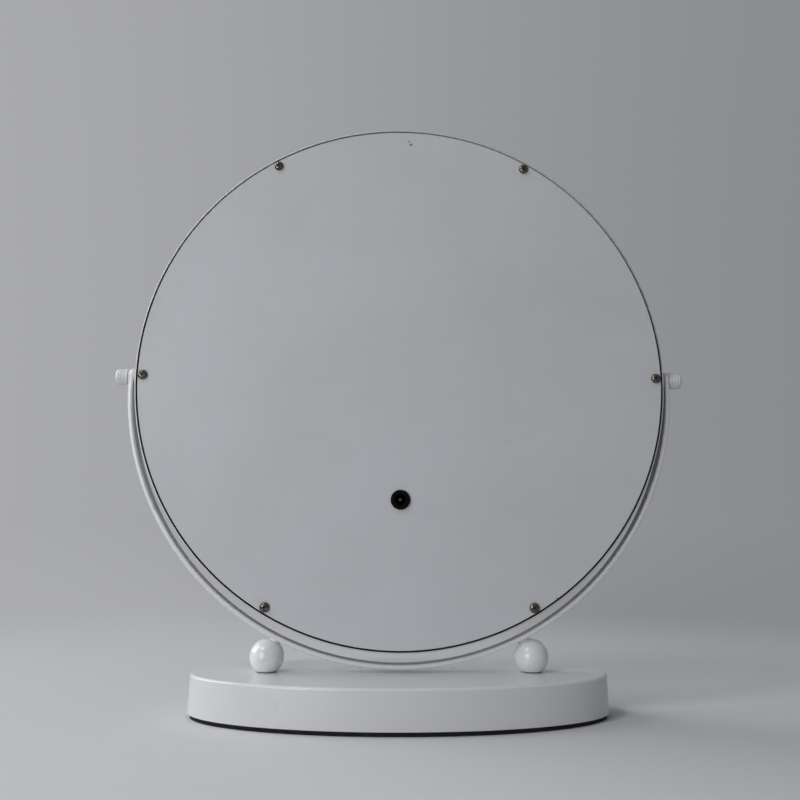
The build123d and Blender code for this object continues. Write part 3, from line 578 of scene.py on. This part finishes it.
cover(copper_foil, "touch_pad")
cover(board_green, "control_board")
cover(component_black, "board_parts")
cover(contact_dark, "jack_pin", "jack_terminals")
cover(lead_red, "jack_lead_red", "led_lead_red")
cover(lead_black, "jack_lead_black", "led_lead_black")
cover(lead_white, "touch_lead")


# Modelling

def only(piece):
    """Selects one object alone."""
    bpy.ops.object.select_all(action="DESELECT")
    piece.select_set(True)
    bpy.context.view_layer.objects.active = piece


def turned(name, rings, segments=ROUND_SEGMENTS):
    """Round piece drawn out of a disc ring by ring; each ring is a height and a radius."""
    bpy.ops.object.select_all(action="DESELECT")
    (height, radius), *later = rings
    bpy.ops.mesh.primitive_circle_add(vertices=segments, radius=radius, fill_type="NGON", location=(0, 0, 0))
    piece = bpy.context.object
    piece.name = name
    piece.data.name = name
    bpy.ops.object.mode_set(mode="EDIT")
    bpy.ops.mesh.select_all(action="SELECT")
    bpy.ops.transform.translate(value=(0.0, 0.0, height))
    for next_height, next_radius in later:
        step = (0.0, 0.0, next_height - height)
        bpy.ops.mesh.extrude_region_move(TRANSFORM_OT_translate={"value": step})
        grown = next_radius / radius
        bpy.ops.transform.resize(value=(grown, grown, 1.0), center_override=(0.0, 0.0, next_height))
        height, radius = next_height, next_radius
    bpy.ops.mesh.select_all(action="SELECT")
    bpy.ops.mesh.normals_make_consistent(inside=False)
    bpy.ops.object.mode_set(mode="OBJECT")
    return piece


def rounded(height, radius, size, start, end):
    """Rings of a rounded edge: an arc of the given size about a corner's centre, between two angles."""
    rings = []
    for k in range(FILLET_STEPS + 1):
        angle = math.radians(start + (end - start) * k / FILLET_STEPS)
        rings.append((height + size * math.sin(angle), radius + size * math.cos(angle)))
    return rings


def apply_all(piece):
    """Applies all modifiers of a piece in their order."""
    only(piece)
    for modifier in list(piece.modifiers):
        bpy.ops.object.modifier_apply(modifier=modifier.name)


def copied(pattern, name):
    """Copy of a piece, with a mesh of its own."""
    only(pattern)
    bpy.ops.object.duplicate()
    piece = bpy.context.object
    piece.name = name
    piece.data.name = name
    return piece


def settle(piece, place, turn, angle=SMOOTH_ANGLE):
    """Puts a finished piece in its place, with the place in its mesh, and smooths its curves."""
    only(piece)
    piece.matrix_world = Matrix.Translation(place) @ turn
    bpy.ops.object.transform_apply(location=True, rotation=True, scale=True)
    bpy.ops.object.shade_smooth_by_angle(angle=math.radians(angle))


def dress(piece, body, node, slot, *materials):
    """Gives a piece its finish, hangs it on the body it moves with, and hides the CAD node it stands in for.
    """
    for material in materials:
        piece.data.materials.append(material)
    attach(piece, body)
    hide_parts(node)


def recess_cutter(turn):
    """Tapered blade that cuts one arm of a cross recess."""
    bpy.ops.object.select_all(action="DESELECT")
    bpy.ops.mesh.primitive_cube_add(size=1.0, location=(0.0, 0.0, 0.0))
    blade = bpy.context.object
    bpy.ops.object.mode_set(mode="EDIT")
    bpy.ops.mesh.select_all(action="SELECT")
    bpy.ops.transform.resize(value=RECESS_ARM, center_override=(0.0, 0.0, 0.0))
    bpy.ops.mesh.select_all(action="DESELECT")
    bpy.ops.object.mode_set(mode="OBJECT")
    for face in blade.data.polygons:
        face.select = face.normal.z < -LEVEL_FACE
    bpy.ops.object.mode_set(mode="EDIT")
    taper = (RECESS_TAPER_SHARE, RECESS_TAPER_SHARE, 1.0)
    bpy.ops.transform.resize(value=taper, center_override=(0.0, 0.0, 0.0))
    bpy.ops.object.mode_set(mode="OBJECT")
    blade.matrix_world = Matrix.Translation((0.0, 0.0, SCREW_HEAD)) @ Matrix.Rotation(turn, 4, "Z")
    bpy.ops.object.transform_apply(location=True, rotation=True, scale=True)
    return blade


def in_recess(face):
    """Whether a face of a screw lies in its recess, under the dome of the head."""
    out = face.center.xy.length
    share = (out - SCREW_FLAT_RADIUS) / (SCREW_HEAD_RADIUS - SCREW_FLAT_RADIUS)
    dome = SCREW_SIDE + SCREW_CROWN * math.sqrt(1.0 - min(1.0, max(0.0, share)) ** 2)
    return out < RECESS_REACH and 0.0 < face.center.z < dome - RECESS_DARK


def pan_head_screw():
    """Pan-head screw with its seat at the origin, its head upwards and a cross recess."""
    tip = (-SCREW_REACH, SCREW_SHAFT_RADIUS * SCREW_TIP_SHARE)
    rings = [tip, (-SCREW_REACH + SCREW_TIP, SCREW_SHAFT_RADIUS)]
    rings += [(0.0, SCREW_SHAFT_RADIUS), (0.0, SCREW_HEAD_RADIUS)]
    for k in range(FILLET_STEPS + 1):
        angle = math.pi / 2 * k / FILLET_STEPS
        radius = SCREW_FLAT_RADIUS + (SCREW_HEAD_RADIUS - SCREW_FLAT_RADIUS) * math.cos(angle)
        rings.append((SCREW_SIDE + SCREW_CROWN * math.sin(angle), radius))
    screw = turned("panel_screw", rings, SCREW_SEGMENTS)
    blades = [recess_cutter(turn) for turn in (0.0, math.pi / 2)]
    for blade in blades:
        cut = screw.modifiers.new("recess", "BOOLEAN")
        cut.operation = "DIFFERENCE"
        cut.object = blade
    bevel = screw.modifiers.new("worn_edges", "BEVEL")
    bevel.width = SCREW_WEAR
    bevel.segments = SCREW_WEAR_STEPS
    bevel.limit_method = "ANGLE"
    bevel.angle_limit = math.radians(SCREW_WEAR_ANGLE)
    apply_all(screw)
    for blade in blades:
        bpy.data.objects.remove(blade)
    # Faces in the recess take the painted shade and grime
    for face in screw.data.polygons:
        face.material_index = 1 if in_recess(face) else 0
    return screw


def panel_screw_ring():
    """Six screws round the panel, each with its recess turned its own way."""
    pattern = pan_head_screw()
    for k, spin in enumerate(SCREW_TURNS):
        screw = copied(pattern, f"panel_screw_{k + 1}")
        angle = 2 * math.pi * k / len(SCREW_TURNS)
        place = HEAD_CENTRE + SCREW_CIRCLE * Vector((math.cos(angle), 0.0, math.sin(angle)))
        place.y = PANEL_BACK
        settle(screw, place, FACING_BACK @ Matrix.Rotation(math.radians(spin), 4, "Z"))
        dress(screw, "mirror_head", "panel_screws", "nickel", nickel_screws, recess_shade_and_grime)
    bpy.data.objects.remove(pattern)


def knob_rings(length, radius):
    """Outline of a thumb knob: collar, body with rounded grooves, and a domed end."""
    rings = [(0.0, KNOB_COLLAR_RADIUS), (KNOB_COLLAR, KNOB_COLLAR_RADIUS)]
    rings += rounded(KNOB_COLLAR + KNOB_EDGE, radius - KNOB_EDGE, KNOB_EDGE, -90.0, 0.0)
    for groove in range(KNOB_GROOVES):
        start = KNOB_COLLAR + KNOB_GROOVE_START + groove * KNOB_GROOVE_PITCH
        for k in range(FILLET_STEPS + 1):
            share = k / FILLET_STEPS
            dip = KNOB_GROOVE_DEPTH * math.sin(math.pi * share) ** KNOB_GROOVE_SOFTNESS
            rings.append((start + KNOB_GROOVE_WIDTH * share, radius - dip))
    rings += rounded(length - KNOB_END_ROUND, radius - KNOB_END_ROUND, KNOB_END_ROUND, 0.0, 90.0)
    return rings


def thumb_knobs():
    """Ringed white knob on each pivot stud."""
    low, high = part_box("right_knob")
    pattern = turned("thumb_knob", knob_rings(high.x - low.x, (high.z - low.z) / 2))
    for name, side in (("left", -1), ("right", 1)):
        knob = copied(pattern, f"{name}_thumb_knob")
        place = Vector((side * low.x, 0.0, (low.z + high.z) / 2))
        settle(knob, place, Matrix.Rotation(side * math.pi / 2, 4, "Y"))
        dress(knob, f"{name}_thumb_knob", f"{name}_knob", "gloss_white", knob_white)
    bpy.data.objects.remove(pattern)


def inlet_socket():
    """Round power socket: barrel, flange with a rounded edge, and a bore with an eased mouth."""
    barrel = jack_high.y - PANEL_BACK
    face = barrel + JACK_FLANGE
    flange = (jack_high.z - jack_low.z) / 2
    rings = [(0.0, JACK_BARREL_RADIUS), (barrel, JACK_BARREL_RADIUS), (barrel, flange)]
    rings += rounded(face - JACK_EDGE, flange - JACK_EDGE, JACK_EDGE, 0.0, 90.0)
    rings += rounded(face - JACK_MOUTH, JACK_BORE_RADIUS + JACK_MOUTH, JACK_MOUTH, 90.0, 180.0)
    rings.append((face - JACK_BORE_DEPTH, JACK_BORE_RADIUS))
    socket = turned("inlet_socket", rings)
    settle(socket, Vector((JACK_CENTRE.x, jack_high.y, JACK_CENTRE.z)), FACING_BACK)
    dress(socket, "mirror_head", "dc_jack", "black_plastic", jack_black)


def mirror_pane():
    """Glass disc with an arris ground round both faces."""
    thickness = glass_high.y - glass_low.y
    rings = [
        (0.0, GLASS_RADIUS - GLASS_ARRIS),
        (GLASS_ARRIS / 2, GLASS_RADIUS),
        (thickness - GLASS_ARRIS / 2, GLASS_RADIUS),
        (thickness, GLASS_RADIUS - GLASS_ARRIS),
    ]
    pane = turned("mirror_pane", rings, GLASS_SEGMENTS)
    settle(pane, Vector((HEAD_CENTRE.x, glass_low.y, HEAD_CENTRE.z)), FACING_FRONT, GLASS_SMOOTH_ANGLE)
    dress(pane, "mirror_head", "mirror_disc", "silvered_glass", mirror_silver, mirror_edge)
    for face in pane.data.polygons:
        face.material_index = 0 if abs(face.normal.y) > LEVEL_FACE else 1


panel_screw_ring()
thumb_knobs()
inlet_socket()
mirror_pane()


# Stage

def linked(tree, kind, operation=None, *sources):
    """New node whose first inputs come from the given outputs."""
    made = tree.nodes.new(kind)
    if operation:
        made.operation = operation
    for source, target in zip(sources, made.inputs):
        tree.links.new(source, target)
    return made


def ranged(tree, source, start, end):
    """Soft step from nought to one between two values."""
    made = linked(tree, "ShaderNodeMapRange", None, source)
    made.interpolation_type = "SMOOTHSTEP"
    made.inputs["From Min"].default_value = start
    made.inputs["From Max"].default_value = end
    return made.outputs["Result"]


def seen_ray(tree):
    """One for rays that show the surroundings: to the camera, in a gloss or through glass."""
    path = tree.nodes.new("ShaderNodeLightPath").outputs
    first = linked(tree, "ShaderNodeMath", "MAXIMUM", path["Is Camera Ray"], path["Is Glossy Ray"])
    both = linked(tree, "ShaderNodeMath", "MAXIMUM", first.outputs["Value"], path["Is Transmission Ray"])
    return both.outputs["Value"]


def backdrop_colour(tree, place):
    """Backdrop that falls off softly from the window's side to the other."""
    way = linked(tree, "ShaderNodeVectorMath", "NORMALIZE", place)
    across = linked(tree, "ShaderNodeSeparateXYZ", None, way.outputs["Vector"])
    fall = tree.nodes.new("ShaderNodeMix")
    fall.data_type = "RGBA"
    near, far = [socket for socket in fall.inputs if socket.type == "RGBA"]
    near.default_value = BACKDROP_LEFT
    far.default_value = BACKDROP_RIGHT
    side = ranged(tree, across.outputs["X"], -BACKDROP_TURN, BACKDROP_TURN)
    tree.links.new(side, fall.inputs["Factor"])
    return [socket for socket in fall.outputs if socket.type == "RGBA"][0]


def pale_stage():
    """Pale floor that fades into the backdrop a little way off and throws less light up than it shows."""
    bpy.ops.object.select_all(action="DESELECT")
    bpy.ops.mesh.primitive_plane_add(size=FLOOR_SIZE, location=(0.0, 0.0, 0.0))
    floor = bpy.context.object
    floor.name = "pale_floor"
    material = bpy.data.materials.new("floor_pale")
    material.use_nodes = True
    tree = material.node_tree
    shader = tree.nodes["Principled BSDF"]
    shader.inputs["Base Color"].default_value = FLOOR_SEEN
    shader.inputs["Roughness"].default_value = 1.0
    shader.inputs["Specular IOR Level"].default_value = 0.0
    bounce = tree.nodes.new("ShaderNodeBsdfDiffuse")
    bounce.inputs["Color"].default_value = FLOOR_BOUNCE
    place = tree.nodes.new("ShaderNodeTexCoord").outputs["Object"]
    far = linked(tree, "ShaderNodeEmission", None, backdrop_colour(tree, place)).outputs["Emission"]
    length = linked(tree, "ShaderNodeVectorMath", "LENGTH", place).outputs["Value"]
    fade = ranged(tree, length, FADE_START, FADE_END)
    ground = linked(tree, "ShaderNodeMixShader", None, fade, shader.outputs["BSDF"], far).outputs["Shader"]
    seen = linked(tree, "ShaderNodeMixShader", None, seen_ray(tree), bounce.outputs["BSDF"], ground)
    tree.links.new(seen.outputs["Shader"], tree.nodes["Material Output"].inputs["Surface"])
    floor.data.materials.append(material)


def pale_world():
    """Even light from all round, shown as a pale backdrop."""
    world = bpy.data.worlds.new("pale_world")
    bpy.context.scene.world = world
    world.use_nodes = True
    tree = world.node_tree
    light = tree.nodes["Background"]
    light.inputs["Color"].default_value = SKY_COLOUR
    light.inputs["Strength"].default_value = SKY_STRENGTH
    place = tree.nodes.new("ShaderNodeTexCoord").outputs["Generated"]
    shown = linked(tree, "ShaderNodeBackground", None, backdrop_colour(tree, place))
    sources = (seen_ray(tree), light.outputs["Background"], shown.outputs["Background"])
    seen = linked(tree, "ShaderNodeMixShader", None, *sources)
    tree.links.new(seen.outputs["Shader"], tree.nodes["World Output"].inputs["Surface"])


def soft_lamp(name, place, aim, size, power):
    """Square soft lamp turned towards a point."""
    lamp = bpy.data.lights.new(name, "AREA")
    lamp.shape = "SQUARE"
    lamp.size = size
    lamp.energy = power
    made = bpy.data.objects.new(name, lamp)
    bpy.context.scene.collection.objects.link(made)
    made.location = place
    made.rotation_euler = (Vector(aim) - Vector(place)).to_track_quat("-Z", "Y").to_euler()
    made.visible_camera = False


def photo_camera():
    """Camera low behind the mirror, looking a little up."""
    lens = bpy.data.cameras.new("photo_camera")
    lens.sensor_width = SENSOR_WIDTH
    lens.lens = SENSOR_WIDTH * PICTURE_FOCAL / PICTURE_WIDTH
    lens.shift_y = (PICTURE_MIDDLE_ROW - PICTURE_WIDTH / 2) / PICTURE_WIDTH
    lens.clip_start = CLIP_START
    lens.clip_end = CLIP_END
    made = bpy.data.objects.new("photo_camera", lens)
    bpy.context.scene.collection.objects.link(made)
    yaw = Matrix.Rotation(math.radians(CAMERA_YAW), 4, "Z")
    pitch = Matrix.Rotation(math.radians(90.0 + CAMERA_PITCH), 4, "X")
    roll = Matrix.Rotation(math.radians(CAMERA_ROLL), 4, "Z")
    made.matrix_world = Matrix.Translation(CAMERA_PLACE) @ yaw @ pitch @ roll
    bpy.context.scene.camera = made


pale_stage()
pale_world()
for lamp in LAMPS:
    soft_lamp(*lamp)
photo_camera()
bpy.context.scene.view_settings.view_transform = "Standard"
